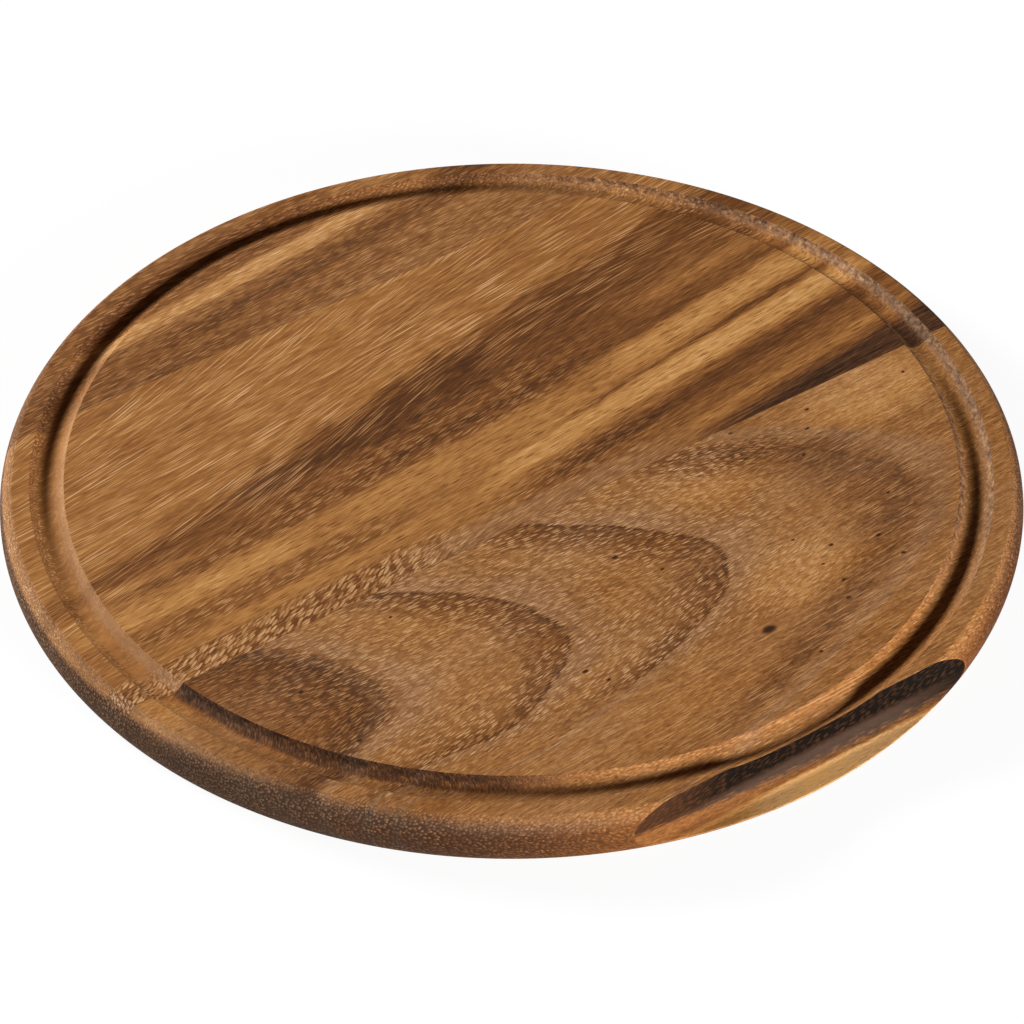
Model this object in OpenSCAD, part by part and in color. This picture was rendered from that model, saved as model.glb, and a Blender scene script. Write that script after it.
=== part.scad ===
// Round wooden serving board, edge-glued from three wide staves.
// A juice groove runs round the serving face and one straight finger scoop is cut into the rim.
// Millimetres. The origin is the centre of the underside. X runs along the grain,
// the scoop faces -Y and Z points up.

/* [Board] */
// Diameter at the widest point of the edge
board_d = 320; // [280:1:360]
// Thickness from the underside to the serving face
board_t = 16; // [14:0.5:20]

/* [Edge] */
// Inset of the rim's top corner from the widest point of the edge
top_inset = 4.2; // [2:0.1:5]
// Inset of the bottom corner from the widest point of the edge
base_inset = 2.6; // [1.5:0.1:5]

/* [Juice groove] */
// Distance from the widest point of the edge to the middle of the groove
groove_inset = 15; // [14:0.5:24]
// Radius of the groove's round section
groove_r = 6; // [4.5:0.1:7]
// Depth of the groove below the serving face
groove_depth = 3.2; // [2:0.1:4]

/* [Finger scoop] */
// Distance from the widest point of the edge to the scoop's upright wall
scoop_inset = 12.2; // [9:0.1:15]
// Wood left under the scoop's floor
scoop_lip_t = 1.2; // [0.8:0.1:3]
// Radius in the corner between the scoop's wall and its floor
scoop_r = 4.5; // [2:0.1:6]

/* [Staves] */
// Greatest width of the rear stave
rear_stave_w = 61.5; // [45:0.5:80]
// Width of the middle stave
middle_stave_w = 124.5; // [90:0.5:140]
// Thickness of the glue in each joint
glue_t = 0.15; // [0.1:0.05:0.3]

/* [Hidden] */

// Smoothness of round sections and of the turned outline
section_fn = 96;
outline_fn = 240;

// Overrun of cutting shapes past the wood
over = 5;

board_r = board_d / 2;
half_t = board_t / 2;

// Radii of the two arcs that meet upright at mid thickness and make the edge
top_arc = arc_radius(half_t, top_inset);
base_arc = arc_radius(half_t, base_inset);

// Middle of the groove, and how high the centre of its round section sits
groove_ring_r = board_r - groove_inset;
groove_centre_z = board_t - groove_depth + groove_r;

// Scoop wall, and the size of the space that is cut away in front of it
scoop_wall_y = scoop_inset - board_r;
scoop_reach = scoop_inset + over;
scoop_rise = board_t - scoop_lip_t + over;

// Middle planes of the two glued joints
rear_joint_y = board_r - rear_stave_w;
front_joint_y = rear_joint_y - middle_stave_w;

// Stains of the wood and of the dried glue
front_wood = [0.62, 0.43, 0.24];
middle_wood = [0.58, 0.38, 0.20];
rear_wood = [0.52, 0.35, 0.19];
dry_glue = [0.42, 0.28, 0.15];

// Radius of an arc that rises by one amount while it sets in by another
function arc_radius(rise, inset) = (rise * rise + inset * inset) / (2 * inset);

// Half of the turned section, from the axis out to an arc that is upright at mid thickness
module section_half(arc, from_z) {
    intersection() {
        union() {
            translate([0, from_z])
                square([board_r - arc, half_t]);
            translate([board_r - arc, half_t])
                circle(r = arc, $fn = section_fn);
        }
        translate([0, from_z])
            square([board_r, half_t]);
    }
}

// Turned section of the whole board with its groove
module board_section() {
    difference() {
        union() {
            section_half(base_arc, 0);
            section_half(top_arc, half_t);
        }
        translate([groove_ring_r, groove_centre_z])
            circle(r = groove_r, $fn = section_fn);
    }
}

// Section of the scoop, measured outwards and upwards from the foot of its wall
module scoop_section() {
    translate([scoop_r, 0])
        square([scoop_reach - scoop_r, scoop_rise]);
    translate([0, scoop_r])
        square([scoop_reach, scoop_rise - scoop_r]);
    translate([scoop_r, scoop_r])
        circle(r = scoop_r, $fn = section_fn);
}

// The straight cut that makes the scoop, along the grain
module scoop_cut() {
    translate([0, scoop_wall_y, scoop_lip_t])
        rotate([90, 0, -90])
            linear_extrude(height = board_d, center = true)
                scoop_section();
}

// The finished board as one outline, before it is parted at the joints
module board_outline() {
    difference() {
        rotate_extrude($fn = outline_fn)
            board_section();
        scoop_cut();
    }
}

// The strip of the board between two planes across the grain
module strip(from_y, to_y) {
    intersection() {
        board_outline();
        translate([-board_r - over, from_y, -over])
            cube([board_d + 2 * over, to_y - from_y, board_t + 2 * over]);
    }
}

// Stave on the scoop's side
module front_stave() {
    color(front_wood)
        strip(-board_r - over, front_joint_y - glue_t / 2);
}

// Stave across the middle
module middle_stave() {
    color(middle_wood)
        strip(front_joint_y + glue_t / 2, rear_joint_y - glue_t / 2);
}

// Stave on the side away from the scoop
module rear_stave() {
    color(rear_wood)
        strip(rear_joint_y + glue_t / 2, board_r + over);
}

// Film of glue in one joint, sanded flush all round
module glue_line(joint_y) {
    color(dry_glue)
        strip(joint_y - glue_t / 2, joint_y + glue_t / 2);
}

// Joint between the front and middle staves
module front_glue_line() {
    glue_line(front_joint_y);
}

// Joint between the middle and rear staves
module rear_glue_line() {
    glue_line(rear_joint_y);
}

front_stave();
middle_stave();
rear_stave();
front_glue_line();
rear_glue_line();
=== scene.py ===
"""Looks of a round serving board: three oiled hardwood staves and the two glue lines between them.

Lengths are in millimetres until a mesh is made. X runs along the grain, the finger scoop faces -Y.
"""

import math

import bmesh
import bpy
import numpy as np
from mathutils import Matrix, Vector


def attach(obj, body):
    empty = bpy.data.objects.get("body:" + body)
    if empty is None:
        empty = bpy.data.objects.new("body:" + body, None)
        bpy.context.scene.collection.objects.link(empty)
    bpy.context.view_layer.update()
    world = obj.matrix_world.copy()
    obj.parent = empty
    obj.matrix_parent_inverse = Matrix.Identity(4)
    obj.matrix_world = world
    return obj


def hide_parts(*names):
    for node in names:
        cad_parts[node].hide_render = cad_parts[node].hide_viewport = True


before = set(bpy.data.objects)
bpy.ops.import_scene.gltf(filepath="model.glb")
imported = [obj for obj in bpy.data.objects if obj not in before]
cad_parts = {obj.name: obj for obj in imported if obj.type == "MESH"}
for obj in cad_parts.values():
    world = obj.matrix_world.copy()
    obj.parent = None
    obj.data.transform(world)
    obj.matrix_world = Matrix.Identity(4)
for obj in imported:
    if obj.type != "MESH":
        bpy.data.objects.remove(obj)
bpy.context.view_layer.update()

MM = 0.001

# Sizes

BOARD_R = 160.0
BOARD_T = 16.0
HALF_T = BOARD_T / 2
TOP_INSET = 4.2
BASE_INSET = 2.6

GROOVE_RING_R = 145.0
GROOVE_R = 6.0
GROOVE_DEPTH = 3.2
GROOVE_RISE = GROOVE_R - GROOVE_DEPTH

SCOOP_WALL = 147.8
SCOOP_FLOOR = 1.2
SCOOP_R = 4.5

REAR_JOINT = 98.5
FRONT_JOINT = -26.0
GLUE_T = 0.15

# How far sanding has eased each corner of the section
EASE_GROOVE = 0.45
EASE_RIM = 0.8
EASE_BASE = 0.6
EASE_SCOOP = 0.4

# Rows of the mesh: radii on the flats, two rows before each corner, points on each arc
FACE_RADII = (12, 40, 70, 100, 120, 132)
BASE_RADII = (12, 60, 110, 145)
CORNER_GAPS = (0.9, 0.12)
BASE_ROWS = len(BASE_RADII) + len(CORNER_GAPS)
CORNER_POINTS = 6
GROOVE_POINTS = 25
EDGE_POINTS = 13
CUT_ROWS = 22
EASE_ROWS = 6

# Steps that the scoop's path is worked out in, and how far past the edge it is first drawn
TURN_STEPS = 40
PATH_STEPS = 1200
PAST_EDGE = 5.0

# Columns round the mesh, in degrees: steps in the scoop, near its ends and elsewhere
SCOOP_STEP = 0.5
FINE_FROM = 16
FINE_STEP = 0.1
RUN_OUT_SPAN = 0.4
RUN_OUT_COLUMNS = 14
ROUND_STEP = 1.0

# Tolerances, in metres, and the angle from which an edge is shaded sharp
WELD = 2e-6
ON_PLANE = 1e-7
SHARP_CORNER = math.radians(50)


# The board's surface


def arc(centre, radius, start, end, count):
    """Points on an arc, angles in degrees."""
    a = np.radians(np.linspace(start, end, count))
    return np.column_stack((centre[0] + radius * np.cos(a), centre[1] + radius * np.sin(a)))


def level(radii, z):
    return np.array([(r, z) for r in radii])


def flat(radii, corner, z):
    """Points on a flat that ends in an eased corner."""
    return level((*radii, *(corner - gap for gap in CORNER_GAPS)), z)


def edge_corner(inset, ease):
    """Radius of one half of the rounded edge, and the place and lean of its eased corner."""
    big = (HALF_T * HALF_T + inset * inset) / (2 * inset)
    reach = math.sqrt((big - ease) ** 2 - (HALF_T - ease) ** 2)
    lean = math.degrees(math.atan2(HALF_T - ease, reach))
    return big, BOARD_R - big + reach, lean


def groove_section():
    """The groove with its two eased corners, and the radii where these meet the flats."""
    reach = math.sqrt((GROOVE_R + EASE_GROOVE) ** 2 - (GROOVE_RISE + EASE_GROOVE) ** 2)
    lean = math.degrees(math.atan2(GROOVE_RISE + EASE_GROOVE, reach))
    inner = GROOVE_RING_R - reach
    outer = GROOVE_RING_R + reach
    corner_z = BOARD_T - EASE_GROOVE
    centre = (GROOVE_RING_R, BOARD_T + GROOVE_RISE)
    points = np.vstack(
        (
            arc((inner, corner_z), EASE_GROOVE, 90, lean, CORNER_POINTS),
            arc(centre, GROOVE_R, 180 + lean, 360 - lean, GROOVE_POINTS)[1:-1],
            arc((outer, corner_z), EASE_GROOVE, 180 - lean, 90, CORNER_POINTS),
        )
    )
    return inner, points, outer


def upper_section():
    """Serving face, groove, rim and the upper half of the edge, from the middle outwards."""
    inner, groove, outer = groove_section()
    big, rim, lean = edge_corner(TOP_INSET, EASE_RIM)
    rim_radii = [outer + gap for gap in reversed(CORNER_GAPS)]
    return np.vstack(
        (
            flat(FACE_RADII, inner, BOARD_T),
            groove,
            flat(rim_radii, rim, BOARD_T),
            arc((rim, BOARD_T - EASE_RIM), EASE_RIM, 90, lean, CORNER_POINTS),
            arc((BOARD_R - big, HALF_T), big, lean, 0, EDGE_POINTS)[1:],
        )
    )


def lower_section():
    """Underside and the lower half of the edge, from the middle outwards."""
    big, corner, lean = edge_corner(BASE_INSET, EASE_BASE)
    return np.vstack(
        (
            flat(BASE_RADII, corner, 0.0),
            arc((corner, EASE_BASE), EASE_BASE, -90, -lean, CORNER_POINTS),
            arc((BOARD_R - big, HALF_T), big, -lean, 0, EDGE_POINTS)[1:],
        )
    )


UPPER = upper_section()
LOWER = lower_section()
LOWER_EDGE = LOWER[BASE_ROWS:]


def lengths(chain):
    """Distance along a chain of points, at each of them."""
    steps = np.hypot(*np.diff(chain, axis=0).T)
    return np.concatenate(([0.0], np.cumsum(steps)))


def point_at(chain, distance):
    run = lengths(chain)
    return np.array([np.interp(distance, run, chain[:, k]) for k in (0, 1)])


def held_back(chain, distance):
    """The chain with every point past a distance drawn back to it, so rows keep their number."""
    out = chain.copy()
    out[lengths(chain) >= distance] = point_at(chain, distance)
    return out


def eased(a, corner, b):
    """A corner rounded from one point to another."""
    s = np.linspace(0, 1, EASE_ROWS)[:, None]
    return (1 - s) ** 2 * a + 2 * s * (1 - s) * corner + s**2 * b


def scoop_path(wall_r, top_z, stretch):
    """The scoop in a radial section: down the wall, round its foot and along the floor to the edge."""
    turn = np.radians(np.linspace(0, 90, TURN_STEPS))
    foot_r = wall_r + SCOOP_R * (1 - np.cos(turn)) * stretch
    foot = np.column_stack((foot_r, SCOOP_FLOOR + SCOOP_R * (1 - np.sin(turn))))
    wall = level((wall_r,), top_z)
    floor = level((BOARD_R + PAST_EDGE,), SCOOP_FLOOR)
    corners = np.vstack((wall, foot[foot[:, 1] < top_z], floor))
    run = lengths(corners)
    fine = np.linspace(0, run[-1], PATH_STEPS)
    path = np.column_stack([np.interp(fine, run, corners[:, k]) for k in (0, 1)])
    edge_r = np.interp(path[:, 1], LOWER_EDGE[:, 1], LOWER_EDGE[:, 0], right=np.inf)
    last = max(int(np.argmax(path[:, 0] >= edge_r)), 2)
    return path[: last + 1]


def scooped_section(stretch):
    """The radial section where the scoop cuts it."""
    wall_r = SCOOP_WALL * stretch
    top_run = np.interp(wall_r, UPPER[:, 0], lengths(UPPER))
    top = point_at(UPPER, top_run)
    path = scoop_path(wall_r, top[1], stretch)
    end = path[-1]
    end_run = np.interp(end[1], LOWER_EDGE[:, 1], lengths(LOWER)[BASE_ROWS:])
    path_run = lengths(path)[-1]
    ease = min(EASE_SCOOP, 0.3 * path_run)
    cut = np.array([point_at(path, x) for x in np.linspace(ease, path_run - ease, CUT_ROWS)])
    return np.vstack(
        (
            held_back(UPPER, top_run - ease),
            eased(point_at(UPPER, top_run - ease), top, cut[0]),
            cut,
            eased(cut[-1], end, point_at(LOWER, end_run - ease)),
            held_back(LOWER, end_run - ease)[::-1],
        )
    )


def section_at(turn):
    """Points of the radial section at an angle from the middle of the scoop, as many at each angle."""
    stretch = 1 / max(math.cos(turn), 1e-6) if abs(turn) < math.pi / 2 else math.inf
    if SCOOP_WALL * stretch < BOARD_R - 1e-4:
        return scooped_section(stretch)
    middle = np.repeat(UPPER[-1:], CUT_ROWS + 2 * EASE_ROWS, axis=0)
    return np.vstack((UPPER, middle, LOWER[::-1]))


def column_angles():
    """Angles round the board from the middle of the scoop, finer where the scoop runs out."""
    run_out = math.degrees(math.acos(SCOOP_WALL / BOARD_R))
    half = np.concatenate(
        (
            np.arange(0, FINE_FROM, SCOOP_STEP),
            np.arange(FINE_FROM, run_out - RUN_OUT_SPAN, FINE_STEP),
            np.linspace(run_out - RUN_OUT_SPAN, run_out, RUN_OUT_COLUMNS),
            np.arange(math.ceil(run_out + RUN_OUT_SPAN), 180, ROUND_STEP),
        )
    )
    return np.radians(np.concatenate((half, [180], -half[:0:-1])))


def whole_board():
    """The finished board as one closed mesh, in metres."""
    bm = bmesh.new()
    top = bm.verts.new((0, 0, BOARD_T * MM))
    base = bm.verts.new((0, 0, 0))
    columns = []
    for turn in column_angles():
        x, y = math.sin(turn) * MM, -math.cos(turn) * MM
        columns.append([bm.verts.new((r * x, r * y, z * MM)) for r, z in section_at(turn)])
    for left, right in zip(columns, columns[1:] + columns[:1]):
        bm.faces.new((top, left[0], right[0]))
        bm.faces.new((base, right[-1], left[-1]))
        for k in range(len(left) - 1):
            bm.faces.new((left[k], left[k + 1], right[k + 1], right[k]))
    bmesh.ops.remove_doubles(bm, verts=bm.verts, dist=WELD)
    bmesh.ops.recalc_face_normals(bm, faces=bm.faces)
    return bm


def cut_across(bm, y, outward):
    """Cut a mesh at a plane across the grain, drop what lies outward of it and close the cut."""
    bmesh.ops.bisect_plane(
        bm,
        geom=bm.verts[:] + bm.edges[:] + bm.faces[:],
        dist=ON_PLANE,
        plane_co=(0, y * MM, 0),
        plane_no=(0, outward, 0),
        clear_outer=True,
    )
    rim = [e for e in bm.edges if e.is_boundary]
    bmesh.ops.edgeloop_fill(bm, edges=rim)


def strip(board, name, from_y, to_y):
    """The part of the board between two planes across the grain, as an object."""
    bm = board.copy()
    for y, outward in ((from_y, -1), (to_y, 1)):
        if abs(y) < BOARD_R:
            cut_across(bm, y, outward)
    bmesh.ops.recalc_face_normals(bm, faces=bm.faces)
    for f in bm.faces:
        f.smooth = True
    mesh = bpy.data.meshes.new(name)
    bm.to_mesh(mesh)
    bm.free()
    mesh.set_sharp_from_angle(angle=SHARP_CORNER)
    piece = bpy.data.objects.new(name, mesh)
    bpy.context.scene.collection.objects.link(piece)
    return piece


# Colours


def srgb(*levels):
    """A colour given as 0 to 255, made linear."""
    c = np.array(levels) / 255
    return tuple(np.where(c <= 0.04045, c / 12.92, ((c + 0.055) / 1.055) ** 2.4))


# Tone is the red level of the colour; WARM is the clean wood, COOL the greyed and purplish one
WARM = (
    (0.0, srgb(3, 2, 1)),
    (0.08, srgb(20, 13, 8)),
    (0.31, srgb(80, 49, 28)),
    (0.40, srgb(102, 62, 32)),
    (0.49, srgb(126, 79, 41)),
    (0.62, srgb(159, 106, 56)),
    (0.74, srgb(189, 135, 76)),
    (0.88, srgb(222, 171, 112)),
    (1.0, srgb(248, 184, 110)),
)
COOL = (
    (0.0, srgb(3, 2, 2)),
    (0.08, srgb(20, 16, 14)),
    (0.31, srgb(79, 60, 48)),
    (0.42, srgb(108, 82, 62)),
    (0.50, srgb(128, 96, 71)),
    (0.62, srgb(158, 119, 86)),
    (0.74, srgb(188, 147, 110)),
    (0.88, srgb(222, 188, 155)),
)


# Shader graphs


class Signal:
    """A number carried by a shader socket, so that node maths reads as plain arithmetic."""

    def __init__(self, graph, socket):
        self.graph = graph
        self.socket = socket

    def __add__(self, other):
        return self.graph.math("ADD", self, other)

    def __sub__(self, other):
        return self.graph.math("SUBTRACT", self, other)

    def __rsub__(self, other):
        return self.graph.math("SUBTRACT", other, self)

    def __mul__(self, other):
        return self.graph.math("MULTIPLY", self, other)

    def __truediv__(self, other):
        return self.graph.math("DIVIDE", self, other)

    def __neg__(self):
        return self * -1.0

    __radd__ = __add__
    __rmul__ = __mul__


class Graph:
    """Shader graph of one material, in millimetres: u along the grain, v across it, w up."""

    def __init__(self, name):
        self.material = bpy.data.materials.new(name)
        self.material.use_nodes = True
        self.tree = self.material.node_tree
        self.shader = self.tree.nodes["Principled BSDF"]
        place = self.node("VectorMath", operation="SCALE")
        place.inputs["Scale"].default_value = 1 / MM
        self.tree.links.new(self.node("TexCoord").outputs["Object"], place.inputs[0])
        self.u, self.v, self.w = self.split(place.outputs[0])
        self.nx, self.ny, self.nz = self.split(self.node("NewGeometry").outputs["Normal"])

    def node(self, kind, **settings):
        made = self.tree.nodes.new("ShaderNode" + kind)
        for key, value in settings.items():
            setattr(made, key, value)
        return made

    def feed(self, socket, value):
        if isinstance(value, Signal):
            self.tree.links.new(value.socket, socket)
        else:
            socket.default_value = value

    def split(self, vector):
        parts = self.node("SeparateXYZ")
        self.tree.links.new(vector, parts.inputs[0])
        return [Signal(self, s) for s in parts.outputs]

    def math(self, operation, *values):
        made = self.node("Math", operation=operation)
        for socket, value in zip(made.inputs, values):
            self.feed(socket, value)
        return Signal(self, made.outputs[0])

    def size(self, x):
        return self.math("ABSOLUTE", x)

    def ease(self, x, start, end):
        """0 before start, 1 after end, smooth between."""
        made = self.node("MapRange", interpolation_type="SMOOTHSTEP")
        for socket, value in zip(made.inputs, (x, start, end)):
            self.feed(socket, value)
        return Signal(self, made.outputs[0])

    def noise(self, x, y, z, detail=1.0, rough=0.5, seed=0.0):
        """Smooth noise around zero, mostly within a third either way."""
        place = self.node("CombineXYZ")
        for socket, value in zip(place.inputs, (x + seed, y, z)):
            self.feed(socket, value)
        made = self.node("TexNoise", noise_dimensions="3D")
        made.inputs["Scale"].default_value = 1.0
        made.inputs["Detail"].default_value = detail
        made.inputs["Roughness"].default_value = rough
        self.tree.links.new(place.outputs[0], made.inputs["Vector"])
        return Signal(self, made.outputs["Fac"]) - 0.5

    def curve(self, line):
        """Height of a line along the grain, from its height at u = 0, its slope and its bend."""
        height, slope, bend = line
        return height + self.u * (slope + bend * self.u) if bend else height + slope * self.u

    def span(self, start, end, fade):
        """1 between two places along the grain."""
        return self.ease(self.u, start - fade, start + fade) * self.ease(self.u, end + fade, end - fade)

    def lay(self, tone, value, amount):
        """One value laid over another."""
        return tone + (value - tone) * amount

    def stripe(self, tone, y, value, line, half, soft, span, fade=15.0):
        """A band of another tone along a line."""
        d = self.size(y - self.curve(line))
        band = self.ease(d, half + soft, max(half - soft, 0.0))
        return self.lay(tone, value, band * self.span(*span, fade))

    def patch(self, tone, y, centre, half, value, strength):
        """A soft oval of another tone."""
        du = (self.u - centre[0]) / half[0]
        dv = (y - centre[1]) / half[1]
        return self.lay(tone, value, strength * self.ease(du * du + dv * dv, 1.4, 0.1))

    def vessels(self, slope, dive, width, fill, seed):
        """Vessels cut open: dots on end grain, strokes where they run out through the face."""
        place = self.node("CombineXYZ")
        self.feed(place.inputs[0], (self.v - slope * self.u) / width + seed)
        self.feed(place.inputs[1], (self.w + dive * self.u) / width)
        made = self.node("TexVoronoi", voronoi_dimensions="2D", feature="F1")
        made.inputs["Scale"].default_value = 1.0
        made.inputs["Randomness"].default_value = 0.85
        self.tree.links.new(place.outputs[0], made.inputs["Vector"])
        gap = Signal(self, made.outputs["Distance"])
        strength = self.split(made.outputs["Color"])[0]
        return self.ease(gap, fill + 0.07, fill - 0.07) * (0.3 + 0.7 * strength)

    def leaning_vessels(self, lean, slopes, dive, width, fill, seed):
        """Vessels whose slope follows a signal, chosen from layers of fixed slope."""
        step = slopes[1] - slopes[0]
        total = 0.0
        for k, slope in enumerate(slopes):
            near = self.ease(self.size(lean - slope), 0.65 * step, 0.35 * step)
            total = near * self.vessels(slope, dive, width, fill, seed + 5 * k) + total
        return total

    def fibre(self, slope, seed, length=1.0):
        """Streaks along the grain, from a few millimetres across down to single fibres."""
        u, w, across = self.u / length, self.w, self.v - slope * self.u
        streak = self.noise(u / 70, across / 3.2, w / 3.2, 2, 0.6, seed)
        silk = self.noise(u / 30, across / 1.1, w / 1.1, 2, 0.65, seed + 1)
        hair = self.noise(u / 5, across / 0.45, w / 0.45, 1, 0.6, seed + 2)
        return 0.14 * streak + 0.16 * silk + 0.37 * hair

    def pale(self, tone, amount):
        """Lift towards the pale lining of a vessel, further from a dark ground."""
        return self.lay(tone, 0.58 + 0.46 * tone, amount)

    def ramp(self, tone, stops):
        """The colour of a tone."""
        made = self.node("ValToRGB")
        slots = made.color_ramp.elements
        for k, (at, colour) in enumerate(stops):
            slot = slots[k] if k < 2 else slots.new(at)
            slot.position = at
            slot.color = (*colour, 1)
        self.feed(made.inputs[0], tone)
        return made.outputs["Color"]

    def finish(self, tone, cool, height):
        """The material: colour from tone and coolness, a matte oiled sheen and a slight bump."""
        shade = self.node("Mix", data_type="RGBA")
        self.feed(shade.inputs["Factor"], cool)
        self.tree.links.new(self.ramp(tone, WARM), shade.inputs["A"])
        self.tree.links.new(self.ramp(tone, COOL), shade.inputs["B"])
        self.tree.links.new(shade.outputs["Result"], self.shader.inputs["Base Color"])
        level_ground = self.ease(self.nz, 0.9, 0.999)
        self.feed(self.shader.inputs["Roughness"], 0.74 - 0.06 * level_ground - 0.1 * height)
        self.shader.inputs["Specular IOR Level"].default_value = 0.05
        bump = self.node("Bump")
        bump.inputs["Strength"].default_value = 0.25
        bump.inputs["Distance"].default_value = 0.2 * MM
        self.feed(bump.inputs["Height"], height)
        self.tree.links.new(bump.outputs[0], self.shader.inputs["Normal"])
        return self.material


# Cut vessels: slope on the face (four for a fan), dive below it, width of a cell, filled share of
# it, seed (the end dots take theirs from the stave)
END_DOTS = (0.08, 0.22, 0.95, 0.35)
BEADS = (0.55, 0.3, 1.25, 0.38, 27)
MIDDLE_FAN = ((0.06, 0.16, 0.26, 0.36), 0.03, 0.78, 0.28, 21)
MIDDLE_DASHES = (0.17, 0.1, 0.7, 0.29, 33)
MIDDLE_PORES = (0.08, 0.1, 1.3, 0.15, 45)
MIDDLE_LINES = (0.13, 0.035, 0.8, 0.22, 47)
REAR_DASHES = (0.1, 0.1, 0.75, 0.28, 53)
REAR_PORES = (0.05, 0.15, 1.8, 0.1, 57)
REARWARD_DASHES = (-0.06, 0.15, 0.72, 0.29, 63)
SCOOPWARD_DASHES = (0.2, 0.15, 0.72, 0.29, 65)
STRAIGHT_DASHES = (0.08, 0.06, 0.75, 0.27, 69)
COARSE_FLECKS = (-0.3, 0.25, 0.8, 0.3, 79)
FRONT_PORES = (0.0, 0.15, 1.8, 0.08, 67)
SCOOP_FLECKS = (0.3, -0.32, 0.95, 0.28, 77)


# End grain

# The radius where the rim's colour begins, just outside the groove
RIM_START = BOARD_R - TOP_INSET - 3.0


class EndGrain:
    """Cut fibre ends on the rim and in the groove of one stave, with painted light and shade on them."""

    def __init__(self, g, seed):
        self.g = g
        self.dots = g.vessels(*END_DOTS, seed)
        self.blotch = g.noise(g.u / 14, g.v / 14, g.w / 8, 2, seed=seed)
        self.fuzz = g.noise(g.u / 2, g.v / 2, g.w / 1.4, 2, 0.7, seed + 1)
        self.cut = g.ease(g.size(g.nx), 0.15, 0.7)
        self.radius = g.math("SQRT", g.u * g.u + g.v * g.v)
        self.rim = g.ease(self.radius, RIM_START - 0.5, RIM_START + 0.5) * g.ease(g.nz, 0.95, 0.8)
        self.side = self.rim * g.ease(g.w - 2.2 * g.ease(g.ny, 0.1, -0.4), 13.5, 11.0)
        # Low on the front of the rim: darker there by painted shade, and warmer in colour.
        self.shaded_low_front = self.rim * g.ease(g.w, 14.0, 10.0) * g.ease(g.ny, -0.4, -0.85)
        self.hollow = g.ease(g.nz, 0.98, 0.85) * (1.0 - self.rim)
        self.torn = self.hollow * g.ease(g.u, 55, 100)
        self.greyed = self.hollow * g.ease(g.nx, 0.1, -0.2) * g.ease(g.ny, -0.4, -0.1)

    def rim_ground(self, tone):
        """The rim: dark and blotchy down its side, with a painted highlight along the top of its -X end.
        """
        g = self.g
        # Painted highlight: lighter along the upper rim where it faces -X.
        painted_rim_highlight = self.rim * g.ease(g.nx, -0.4, -0.8) * g.ease(g.w, 11.0, 13.5)
        return tone - 0.08 * self.rim + 0.1 * painted_rim_highlight - (0.26 + 0.25 * self.blotch) * self.side

    def groove_ground(self, tone):
        """The groove: greyed on the walls that face -X, rough and torn at its +X end, where painted light
        lifts its lower part and painted shade darkens the walls that face +X.
        """
        g = self.g
        # Painted light: lighter low in the groove at the +X end, mixed with the fuzz.
        rough = 0.4 * self.fuzz + 0.2 * g.ease(g.w, 15.4, 13.6) - 0.14
        # Painted shade on the walls that face +X at that end.
        shaded = self.torn * g.ease(g.nx, -0.1, 0.2)
        tone = tone + 0.03 * self.hollow + rough * self.torn - 0.12 * shaded
        tone = g.lay(tone, 0.67 + 0.15 * self.fuzz + 0.3 * self.blotch, 0.6 * self.greyed)
        uneven = 0.46 + 1.5 * self.fuzz + 0.3 * self.blotch
        return g.lay(g.math("MAXIMUM", tone, 0.27), uneven, 0.5 * self.torn)

    def groove_walls(self, tone):
        """The groove's outer wall, darkened by painted shade on the rear -X side, and its inner wall
        there, lightened by painted light.
        """
        g = self.g
        # Painted shade on the outer wall at the back, which faces away from the back lamp.
        painted_wall_shade = self.hollow * g.ease(g.v, 0, 40) * g.ease(0.55 * g.nx - 0.83 * g.ny, 0.25, 0.7)
        # Painted light: the inner wall and bottom of the groove on the -X side paler, widening the lit
        # part.
        smooth = g.ease(g.u, -70, -110) * g.ease(g.v, -30, -10) * g.ease(g.nx, 0.5, 0.1)
        smooth = smooth * g.ease(g.w, 15.2, 14.0) * g.ease(g.w, 8.0, 10.0)
        smooth = smooth * g.ease(self.radius, RIM_START, RIM_START - 1.0)
        painted_light_tone = 0.63 + 0.15 * self.fuzz + 0.3 * self.blotch
        return g.lay(tone - 0.12 * painted_wall_shade, painted_light_tone, 0.6 * smooth)

    def over(self, tone):
        """The tone with end grain laid over it wherever the surface cuts the fibres."""
        ground = self.groove_ground(self.rim_ground(tone))
        speckle = (0.04 + 0.25 * self.side) * (0.75 + 1.8 * self.blotch) * self.dots
        tone = self.groove_walls(self.g.lay(tone, ground + speckle, self.cut))
        # Painted shade low on the front of the rim.
        return tone - 0.07 * self.shaded_low_front

    def greyness(self):
        """How grey the end grain is, with a warm front low on the rim."""
        facing = 0.2 + 0.8 * self.g.ease(self.g.nx, 0.3, -0.3)
        greying_and_sheen = (0.8 * self.rim + (0.6 + 0.6 * self.dots) * self.side) * facing
        return self.cut * (0.3 + greying_and_sheen + self.greyed + self.torn) - 1.6 * self.shaded_low_front


# Middle stave

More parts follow.
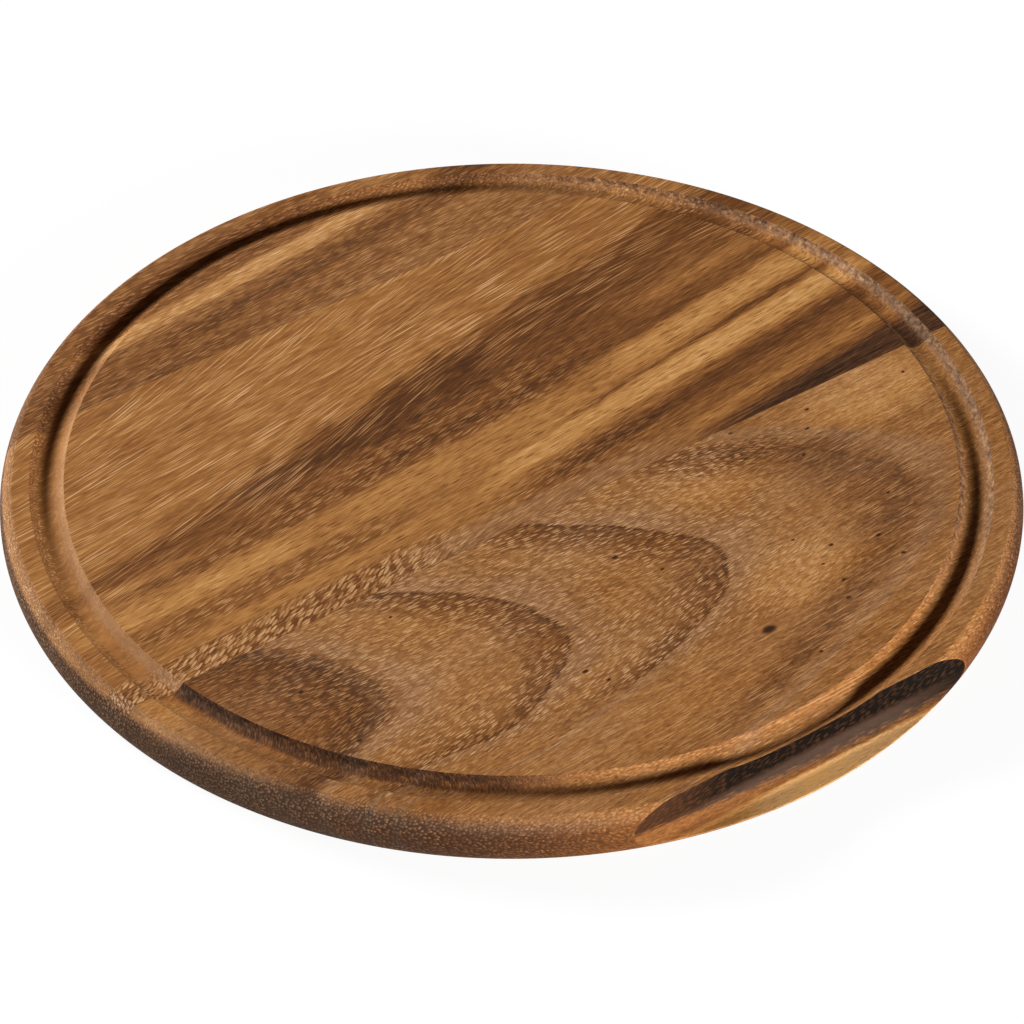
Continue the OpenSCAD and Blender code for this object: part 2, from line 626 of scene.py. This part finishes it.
# Stripes: tone, line (height at u = 0, slope, bend), half width, softness, reach along u
MIDDLE_STRIPES = (
    (0.41, (42.0, 0.13, 0), 3.0, 2.5, (-150, -95)),
    (0.58, (19.5, 0.0, 0), 2.4, 2.0, (-150, -100)),
    (0.46, (14.6, 0.0, 0), 1.2, 1.0, (-128, -60)),
    (0.37, (24.0, 0.09, 0.0003), 1.8, 1.6, (-50, 55)),
    (0.43, (21.5, 0.13, 0), 1.8, 1.6, (55, 150)),
    (0.61, (33.0, 0.1, 0), 3.5, 3.0, (80, 150)),
    (0.70, (5.8, 0.0, 0), 4.2, 2.5, (-150, -70)),
    (0.65, (10.5, 0.06, 0), 6.5, 3.5, (-60, 40)),
    (0.735, (11.3, 0.145, 0), 5.5, 3.0, (50, 150)),
    (0.50, (-2.2, 0.02, 0), 3.6, 2.0, (-150, -45)),
    (0.56, (1.5, 0.07, 0), 0.9, 0.8, (-60, 30)),
    (0.64, (-6.2, 0.058, 0), 2.8, 1.8, (-120, 0)),
    (0.43, (2.4, 0.15, 0), 0.9, 0.7, (30, 150)),
    (0.74, (-2.2, 0.132, 0), 4.0, 2.2, (-10, 150)),
    (0.78, (-2.2, 0.132, 0), 3.6, 2.2, (55, 150)),
)
LOWER_STRIPES = (
    (0.38, (-14.0, 0.135, 0), 2.6, 2.0, (0, 150)),
    (0.62, (-27.0, 0.135, 0), 2.2, 1.8, (45, 150)),
)
# Soft ovals: centre, half size, tone, strength
MIDDLE_PATCH = ((-82, 72), (24, 8), 0.56, 0.8)


def middle_heart(g, y, feather, silk, tone):
    """The brown zone along the middle and the darker, feathered heart in it."""
    brown = g.ease(y - g.curve((18.0, 0.095, 0.0006)) + 6.0 * silk, -2, 2)
    brown = brown * g.ease(g.curve((53.0, 0.2, 0)) - y + 22.0 * feather, -5, 5)
    tone = g.lay(tone, 0.445 + 0.12 * feather, brown)
    dark_zone = g.ease(y - g.curve((34.0, 0.1, 0.0011)) + 12.0 * feather, -5, 4) * brown
    dark_zone = dark_zone * g.ease(g.u, -110, -55) * (1.0 - 0.6 * g.span(24, 42, 10))
    darkest = 0.35 + 0.06 * g.ease(g.u, 20, 80) + 0.1 * feather
    return g.lay(tone, darkest, dark_zone), dark_zone


def middle_bands(g, wavy, silk, tone):
    """Stripes, most of them in front of the brown zone, and the dark wedge beside the front joint."""
    for stripe in MIDDLE_STRIPES:
        tone = g.stripe(tone, wavy, *stripe)
    lower = g.ease(g.curve((-8.5, 0.128, 0)) - wavy, -1.5, 1.5) * g.ease(g.u, -40, 25)
    tone = g.lay(tone, 0.5 + 0.25 * silk, lower)
    for stripe in LOWER_STRIPES:
        tone = g.stripe(tone, wavy, *stripe)
    wedge = g.ease(g.curve((-31.5, 0.126, 0)) - wavy, -2.5, 2.5) * g.ease(g.u, 45, 75)
    return g.lay(tone, 0.29 + 0.35 * silk, wedge), wedge


def fanned_strokes(g):
    """Pale strokes that fan out from a line along the rear half of the middle stave."""
    u, v, w = g.u, g.v, g.w
    left = g.math("MINIMUM", u, -20.0)
    right = g.math("MAXIMUM", u, 0.0)
    off = v - 60 - 0.15 * (left + 70)
    lean = 0.08 + 0.007 * g.size(off) + 0.0012 * (left + 100) - 0.0015 * right
    patchy = g.ease(g.noise(u / 30, (v - 0.2 * u) / 7, w / 7, 1, seed=41), -0.15, 0.15)
    return g.leaning_vessels(lean, *MIDDLE_FAN) * (0.6 + 0.4 * patchy)


def middle_wood():
    """Striped brown and golden heartwood, with beaded grain at the front joint."""
    g = Graph("middle_wood")
    u, v, w = g.u, g.v, g.w
    y = v + 0.4 * (w - BOARD_T) + 3.0 * g.noise(u / 130, v / 45, w / 45)
    feather = g.noise(u / 16, (v - 0.25 * u) / 1.2, w / 1.2, 2)
    silk = g.noise(u / 40, (y - 0.06 * u) / 1.2, w / 1.2, 3, 0.65, seed=7)
    broad = g.noise(u / 150, (y - 0.1 * u) / 9, w / 9, 1, seed=3)
    wavy = y + 4.0 * silk + 2.5 * feather

    tone = g.patch(0.59 + 0.1 * broad, v, *MIDDLE_PATCH)
    tone, dark_zone = middle_heart(g, y, feather, silk, tone)
    tone, wedge = middle_bands(g, wavy, silk, tone)
    greyed = g.ease(-17.5 - wavy, -2, 2) * g.span(-50, 45, 20)
    tone = g.lay(tone, 0.55, greyed)
    beaded = g.ease(-12.5 + 0.03 * u - wavy, -2, 2.5) * g.ease(u, -20, -65)
    tone = g.lay(tone, 0.44, beaded)

    gold = g.ease(tone, 0.5, 0.62)
    upper = g.ease(y - 0.2 * u + 0.12 * g.math("MAXIMUM", u, 0.0), 32, 46)
    strokes = fanned_strokes(g) * upper
    beads = g.vessels(*BEADS) * beaded
    dashes = g.vessels(*MIDDLE_DASHES) * (1.0 - 0.85 * upper) * (1.0 - 0.4 * dark_zone)
    dashes = dashes * (1.0 - 0.75 * gold) * (1.0 - 0.75 * g.ease(u, 15, 75))
    pores = g.vessels(*MIDDLE_PORES) * gold * (1.0 - upper)
    lines = g.vessels(*MIDDLE_LINES) * g.ease(u, 0, 60) * (1.0 - upper)
    fibre = g.fibre(0.1, 80)
    pale = g.math("MINIMUM", 0.95 * strokes + 0.75 * dashes + 0.95 * beads, 1.0)
    tone = g.pale(tone + fibre, pale) - 0.2 * pores - 0.11 * lines

    ends = EndGrain(g, 91)
    cool = 0.25 * dark_zone * g.span(-105, -65, 20) + 0.35 * greyed + 0.2 * wedge + 0.5 * pale
    return g.finish(ends.over(tone), cool + 0.4 * ends.greyness(), 2 * fibre - pores)


# Rear stave

REAR_STRIPES = (
    (0.42, (118.2, 0.13, 0), 3.0, 2.5, (-60, 75)),
    (0.71, (129.8, 0.115, 0), 3.6, 1.5, (-85, 45)),
    (0.45, (137.5, 0.05, 0), 2.2, 1.5, (-45, 5)),
    (0.42, (99.8, 0.0, 0), 0.8, 0.6, (-95, -45)),
)
REAR_PATCHES = (
    ((74.0, 133.0), (15.0, 7.0), 0.36, 0.8),
    ((45.0, 148.0), (15.0, 4.0), 0.62, 0.7),
    ((85.0, 126.0), (9.0, 6.0), 0.46, 0.7),
    ((-102.0, 107.0), (9.0, 6.0), 0.42, 0.7),
)


def rear_wood():
    """Greyish brown wood with one golden band."""
    g = Graph("rear_wood")
    u, v, w = g.u, g.v, g.w
    y = v + 0.5 * (w - BOARD_T) + 3.0 * g.noise(u / 120, v / 40, w / 40, seed=5)
    silk = g.noise(u / 40, (y - 0.1 * u) / 1.2, w / 1.2, 3, 0.65, seed=17)
    broad = g.noise(u / 120, (y - 0.1 * u) / 8, w / 8, 1, seed=13)
    tone = 0.515 + 0.14 * broad + 0.0004 * u
    wavy = y + 5.0 * silk
    for stripe in REAR_STRIPES:
        tone = g.stripe(tone, wavy, *stripe)
    for patch in REAR_PATCHES:
        tone = g.patch(tone, wavy, *patch)
    dashes = g.vessels(*REAR_DASHES)
    pores = g.vessels(*REAR_PORES)
    fibre = g.fibre(0.08, 84)
    tone = g.pale(tone + fibre, 0.6 * dashes) - 0.12 * pores
    ends = EndGrain(g, 95)
    cool = 0.12 + 0.5 * broad + 0.2 * dashes + 0.4 * ends.greyness()
    return g.finish(ends.over(tone), cool, 2 * fibre - pores)


# Front stave

# Growth rings: tip along u, fade inwards, softness outwards, tone at the edge, how far each flank
# falls back (rear: slope and square, scoop side: square and cube), reach of the latter, how grey
# the edge is
RINGS = (
    (-91.0, 60.0, 7.0, 0.385, (0.0, 0.022), (0.030, 0.0007), 60.0, 0.4),
    (-31.5, 26.0, 1.2, 0.45, (0.05, 0.020), (0.027, 0.00065), 52.0, 0.1),
    (29.0, 28.0, 1.2, 0.44, (0.5, 0.012), (0.024, 0.0008), 42.0, 0.1),
    (97.0, 34.0, 13.0, 0.46, (0.5, 0.016), (0.025, 0.0), 75.0, 0.15),
)
FRONT_PATCHES = (
    ((-74.0, -60.0), (22.0, 28.0), 0.605, 0.6),
    ((45.0, -42.0), (20.0, 14.0), 0.67, 0.7),
    ((44.0, -92.0), (26.0, 15.0), 0.68, 0.8),
    ((114.0, -38.0), (30.0, 14.0), 0.70, 0.9),
    ((-40.0, -117.0), (55.0, 12.0), 0.61, 0.7),
    ((82.0, -51.0), (17.0, 8.0), 0.42, 0.6),
    ((86.0, -78.0), (17.0, 26.0), 0.49, 0.6),
    ((10.0, -80.0), (18.0, 9.0), 0.53, 0.5),
)
# The same on the rim, over the rings
RIM_PATCHES = (
    ((-149.0, -34.0), (10.0, 12.0), 0.67, 0.9),
    ((-113.0, -105.0), (18.0, 10.0), 0.5, 0.75),
)
# Pin knots: place and length
KNOTS = (
    (18.2, -107.6, 2.6),
    (46.6, -110.2, 1.0),
    (25.0, -124.2, 0.9),
    (72.9, -104.0, 1.0),
    (71.6, -93.3, 1.0),
    (57.1, -88.5, 0.9),
    (49.7, -93.9, 0.7),
    (50.3, -103.2, 0.8),
    (48.9, -80.0, 0.7),
    (86.8, -79.5, 0.8),
    (76.6, -50.2, 0.8),
    (85.3, -40.8, 0.9),
    (91.0, -33.4, 0.9),
    (64.2, -28.7, 0.8),
    (127.8, -36.3, 0.8),
    (-0.3, -55.0, 1.2),
    (8.2, -67.6, 0.7),
    (-37.4, -90.7, 1.2),
    (-34.0, -97.6, 0.9),
    (-111.0, -49.5, 0.9),
    (-108.4, -76.5, 0.9),
    (-71.3, -37.7, 0.7),
)
KNOT_STRETCH = 1.7
# The scoop's colours begin within this distance of its wall
SCOOP_MARGIN = 0.15


def growth_rings(g, off, ragged, tone, cool):
    """Arches that point along the grain, dark at the edge, fading inwards, with a greyed halo outside."""
    u, v, w = g.u, g.v, g.w
    above = g.math("MAXIMUM", off, 0.0)
    below = g.math("MAXIMUM", -off, 0.0)
    along = u + 1.5 * (w - BOARD_T) + 4 * g.noise(u / 25, v / 14, w / 14, 1, seed=6) + 4 * ragged
    for tip, fade, soft, edge, (slope, bow), (square, cube), reach, grey in RINGS:
        d = along + above * (slope + bow * above) + below * below * (square + cube * below) - tip
        inside = g.ease(d, soft, -soft)
        flank = g.ease(below, reach, 0.7 * reach)
        ring = g.ease(d, -fade, -0.1 * fade) * inside * flank
        rim = g.ease(d, -3.0 - soft, 0.0) * ring
        line = g.ease(g.size(d + 1.0), 1.6, 0.3) * flank
        bands = g.noise(d / 3.5, v / 70, w / 70, 1, seed=29)
        tone = g.lay(tone, edge, ring) - (1.0 - grey) * (0.04 * rim + 0.05 * line)
        tone = tone + 0.1 * bands * g.ease(d, -2.0 * fade, -fade) * inside
        halo = g.ease(d, 0.0, soft) * g.ease(d, 22, soft)
        cool = cool + 0.35 * halo + grey * rim
    return tone, cool


def front_dashes(g, off):
    """Pale strokes, leaning apart on the two sides of the rings and straight beyond them."""
    scoop_side = g.ease(off, 4, -12)
    dashes = g.lay(g.vessels(*REARWARD_DASHES), g.vessels(*SCOOPWARD_DASHES), scoop_side)
    straight = g.lay(g.ease(g.u, 45, 85), 1.0, g.ease(g.v, -98, -112))
    return g.lay(dashes, g.vessels(*STRAIGHT_DASHES), straight), straight


def knots(g):
    """Dark pin knots, each drawn out a little along the grain."""
    place = g.node("CombineXYZ")
    wobble = 0.5 * g.noise(g.u / 1.2, g.v / 1.2, g.w / 1.2, 1, seed=71)
    g.feed(place.inputs[0], g.u / KNOT_STRETCH + wobble)
    g.feed(place.inputs[1], g.v + wobble)
    dark = 0.0
    for u, v, length in KNOTS:
        gap = g.node("VectorMath", operation="DISTANCE")
        g.tree.links.new(place.outputs[0], gap.inputs[0])
        gap.inputs[1].default_value = (u / KNOT_STRETCH, v, 0)
        spot = g.ease(Signal(g, gap.outputs["Value"]), 0.75 * length, 0.25 * length)
        dark = g.math("MAXIMUM", spot, dark)
    return dark


def painted_shade_inner_wall(g, tone):
    """The groove's inner wall on the front -X side: darkened by painted shade, with slanting pale strokes,
    lighter towards its top.
    """
    facing = g.ease(-0.6 * g.nx - 0.8 * g.ny, 0.08, 0.4) * g.ease(g.u, -55, -95)
    inner = g.ease(g.u * g.u + g.v * g.v, GROOVE_RING_R**2 + 300, GROOVE_RING_R**2)
    around = g.math("ARCTAN2", g.v, g.u) * GROOVE_RING_R
    strokes = g.ease(g.noise(around / 0.7 + 0.9 * g.w, g.w / 1.1, 0.0, 3, 0.75, seed=75), -0.1, 0.2)
    patches = g.noise(around / 7, g.w / 2, 0.0, 1, seed=76)
    pale = 0.3 * strokes + 0.35 * patches + 0.1 * g.ease(g.w, 15.0, 13.6)
    return g.lay(tone, 0.12 + pale, 0.9 * facing * inner)


def scoop_wood_and_shade(g, ragged, fibre, dashes):
    """What the scoop lays open, tone and coolness: dark up its wall, partly the wood's own colour and
    partly painted shade, a painted grey reflection low on the wall, and pale wood below, lifted by painted
    light on the floor.
    """
    u, w = g.u, g.w
    seam = g.curve((2.6, -0.04, 0.0007)) + 0.6 * ragged + 2.0 * fibre + 1.2 * dashes
    # Dark up the wall: partly the wood's own colour, partly painted shade.
    dark_zone = g.ease(w - seam, -1.3, 1.3)
    # Painted reflection: a lighter, greyer band low on the wall in the middle.
    greying_and_sheen = g.ease(w, 9, 5) * g.span(-40, 50, 20)
    flecks = g.vessels(*SCOOP_FLECKS) * g.ease(w, 5, 9)
    dark = 0.06 + 0.15 * flecks + 0.18 * greying_and_sheen + 0.16 * g.ease(u, -20, -60) + 0.25 * fibre
    # Painted light on the scoop's floor, most in its middle, over the pale wood.
    lit = g.ease(u, -35, 0) * g.ease(u, 58, 25)
    pale_floor = 0.5 + (0.2 + 0.24 * lit) * g.ease(w, SCOOP_FLOOR + 0.6, SCOOP_FLOOR + 0.02) + 0.8 * fibre
    return g.lay(pale_floor, dark, dark_zone), greying_and_sheen * dark_zone


def front_wood():
    """Flat-sawn wood: growth rings as arches, pin knots, and the wood that the scoop lays open, with
    painted shade and light in the scoop.
    """
    g = Graph("front_wood")
    u, v, w = g.u, g.v, g.w
    off = v - (11.0 * g.ease(u, -60, -110) + 4 * g.noise(u / 60, v / 60, w / 60, seed=2) - 69.5)
    ragged = g.noise(u / 5, v / 0.9, w / 0.9, 2, seed=4)
    broad = g.noise(u / 60, v / 18, w / 18, 1, seed=23)
    tone = 0.57 + 0.1 * broad
    for patch in FRONT_PATCHES:
        tone = g.patch(tone, v + 8 * ragged, *patch)
    tone, cool = growth_rings(g, off, ragged, tone, 0.1 + 0.6 * broad)
    for patch in RIM_PATCHES:
        tone = g.patch(tone, v, *patch)

    gold = g.ease(tone, 0.48, 0.62)
    dashes, straight = front_dashes(g, off)
    pale = dashes * (1.0 - 0.3 * gold) * (1.0 - 0.35 * straight) * g.ease(u, -180, -80)
    coarse = g.ease(g.size(u - 56), 34, 14) * g.ease(g.size(v + 37 + 0.12 * (u - 50)), 10, 3)
    pale = pale + 0.6 * g.vessels(*COARSE_FLECKS) * coarse
    pores = g.vessels(*FRONT_PORES)
    fibre = g.fibre(0.0, 88, 0.4)
    tone = g.pale(tone - 0.06 * coarse + fibre, pale) - 0.1 * pores
    ends = EndGrain(g, 97)
    tone = painted_shade_inner_wall(g, ends.over(tone))
    cool = cool + 0.5 * pale + 0.4 * ends.greyness()

    scoop = g.ease(v, SCOOP_MARGIN - SCOOP_WALL, 0.3 * SCOOP_MARGIN - SCOOP_WALL)
    scoop = scoop * g.ease(w, SCOOP_FLOOR - 0.2, SCOOP_FLOOR - 0.1)
    laid_open, laid_open_cool = scoop_wood_and_shade(g, ragged, fibre, dashes)
    tone = g.lay(tone, laid_open, scoop)
    tone = g.lay(tone, 0.16, 0.9 * knots(g))
    return g.finish(tone, g.lay(cool, laid_open_cool, scoop), 2 * fibre - pores)


# Glue


def glue():
    """Dried glue, flush with the wood: brown, patchy along the joint and finely mottled."""
    g = Graph("glue")
    patchy = g.noise(g.u / 6, g.v, g.w / 6, 2, seed=61)
    mottle = g.noise(g.u / 0.8, g.v / 0.8, g.w / 0.8, 1, seed=62)
    tone = 0.38 + 0.2 * patchy + 0.1 * mottle
    return g.finish(tone, 0.2 + 0.5 * patchy, mottle)


# Stage

# The camera: how far it is turned from the grain, how high it looks from, its distance and lens
GRAIN_TURN = math.radians(35.3)
ELEVATION = math.radians(41.17)
CAMERA_DISTANCE = 1331.9
FOCAL_PX = 4318.3
FRAME_PX = 1024
SENSOR = 36.0
AIM = (-13.8, -19.7, BOARD_T)

# Lamps: heading and lift in degrees, distance and size in metres, power in watts
SOFTBOXES = (
    ("softbox_back", 115, 22, 2.0, (0.9, 0.36), 60),
    ("softbox_front", -83, 14.5, 2.0, (0.9, 0.36), 65),
)
SKY_STRENGTH = 0.035

# The floor, in metres, and its greys
FLOOR_HALF = 6.0
FLOOR_DROP = 0.0002
FLOOR_GREY = 0.8
SHADOW_GREY = 0.12
FLOOR_GLOW = 0.9


def add_camera():
    toward = Vector(
        (
            -math.sin(GRAIN_TURN) * math.cos(ELEVATION),
            -math.cos(GRAIN_TURN) * math.cos(ELEVATION),
            math.sin(ELEVATION),
        )
    )
    data = bpy.data.cameras.new("camera")
    data.sensor_width = SENSOR
    data.lens = SENSOR * FOCAL_PX / FRAME_PX
    data.clip_start = 0.05
    data.clip_end = 20.0
    cam = bpy.data.objects.new("camera", data)
    cam.location = (Vector(AIM) + toward * CAMERA_DISTANCE) * MM
    cam.rotation_euler = toward.to_track_quat("Z", "Y").to_euler()
    bpy.context.scene.collection.objects.link(cam)
    bpy.context.scene.camera = cam


def add_softbox(name, heading, lift, distance, size, power):
    """A rectangular lamp that looks at the board."""
    h, e = math.radians(heading), math.radians(lift)
    back = Vector((math.cos(h) * math.cos(e), math.sin(h) * math.cos(e), math.sin(e)))
    data = bpy.data.lights.new(name, "AREA")
    data.shape = "RECTANGLE"
    data.size, data.size_y = size
    data.energy = power
    lamp = bpy.data.objects.new(name, data)
    lamp.location = back * distance
    lamp.rotation_euler = back.to_track_quat("Z", "Y").to_euler()
    bpy.context.scene.collection.objects.link(lamp)


def diffuse(tree, grey):
    made = tree.nodes.new("ShaderNodeBsdfDiffuse")
    made.inputs["Color"].default_value = (grey, grey, grey, 1)
    return made.outputs[0]


def floor_material():
    """Near white with a soft shadow where it is seen, plain pale grey for the light it throws back."""
    m = bpy.data.materials.new("pale_floor")
    m.use_nodes = True
    t = m.node_tree
    t.nodes.clear()
    glow = t.nodes.new("ShaderNodeEmission")
    glow.inputs["Strength"].default_value = FLOOR_GLOW
    shown = t.nodes.new("ShaderNodeAddShader")
    t.links.new(diffuse(t, SHADOW_GREY), shown.inputs[0])
    t.links.new(glow.outputs[0], shown.inputs[1])
    path = t.nodes.new("ShaderNodeLightPath")
    seen = path.outputs["Is Camera Ray"]
    for kind in ("Is Glossy Ray", "Is Transmission Ray"):
        either = t.nodes.new("ShaderNodeMath")
        either.operation = "MAXIMUM"
        t.links.new(seen, either.inputs[0])
        t.links.new(path.outputs[kind], either.inputs[1])
        seen = either.outputs[0]
    both = t.nodes.new("ShaderNodeMixShader")
    t.links.new(seen, both.inputs[0])
    t.links.new(diffuse(t, FLOOR_GREY), both.inputs[1])
    t.links.new(shown.outputs[0], both.inputs[2])
    out = t.nodes.new("ShaderNodeOutputMaterial")
    t.links.new(both.outputs[0], out.inputs["Surface"])
    return m


def add_floor():
    corners = [(x * FLOOR_HALF, y * FLOOR_HALF, 0) for x, y in ((-1, -1), (1, -1), (1, 1), (-1, 1))]
    mesh = bpy.data.meshes.new("floor")
    mesh.from_pydata(corners, [], [(0, 1, 2, 3)])
    mesh.materials.append(floor_material())
    floor = bpy.data.objects.new("floor", mesh)
    floor.location.z = -FLOOR_DROP
    bpy.context.scene.collection.objects.link(floor)


def add_world():
    world = bpy.data.worlds.new("studio")
    bpy.context.scene.world = world
    world.use_nodes = True
    bg = world.node_tree.nodes["Background"]
    bg.inputs["Color"].default_value = (1, 1, 1, 1)
    bg.inputs["Strength"].default_value = SKY_STRENGTH


# Assembly

board = whole_board()
half_glue = GLUE_T / 2
MATERIALS = {
    "front_wood": front_wood(),
    "middle_wood": middle_wood(),
    "rear_wood": rear_wood(),
    "dry_glue": glue(),
}
PIECES = (
    ("oiled_front_stave", "front_stave", "front_wood", -BOARD_R, FRONT_JOINT - half_glue),
    ("oiled_middle_stave", "middle_stave", "middle_wood", FRONT_JOINT + half_glue, REAR_JOINT - half_glue),
    ("oiled_rear_stave", "rear_stave", "rear_wood", REAR_JOINT + half_glue, BOARD_R),
    ("front_glue_film", "front_glue_line", "dry_glue", FRONT_JOINT - half_glue, FRONT_JOINT + half_glue),
    ("rear_glue_film", "rear_glue_line", "dry_glue", REAR_JOINT - half_glue, REAR_JOINT + half_glue),
)
for name, node, slot_name, from_y, to_y in PIECES:
    piece = strip(board, name, from_y, to_y)
    piece.data.materials.append(MATERIALS[slot_name])
    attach(piece, "root")
    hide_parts(node)
board.free()

add_camera()
add_floor()
add_world()
for softbox in SOFTBOXES:
    add_softbox(*softbox)

scene = bpy.context.scene
scene.view_settings.view_transform = "Standard"
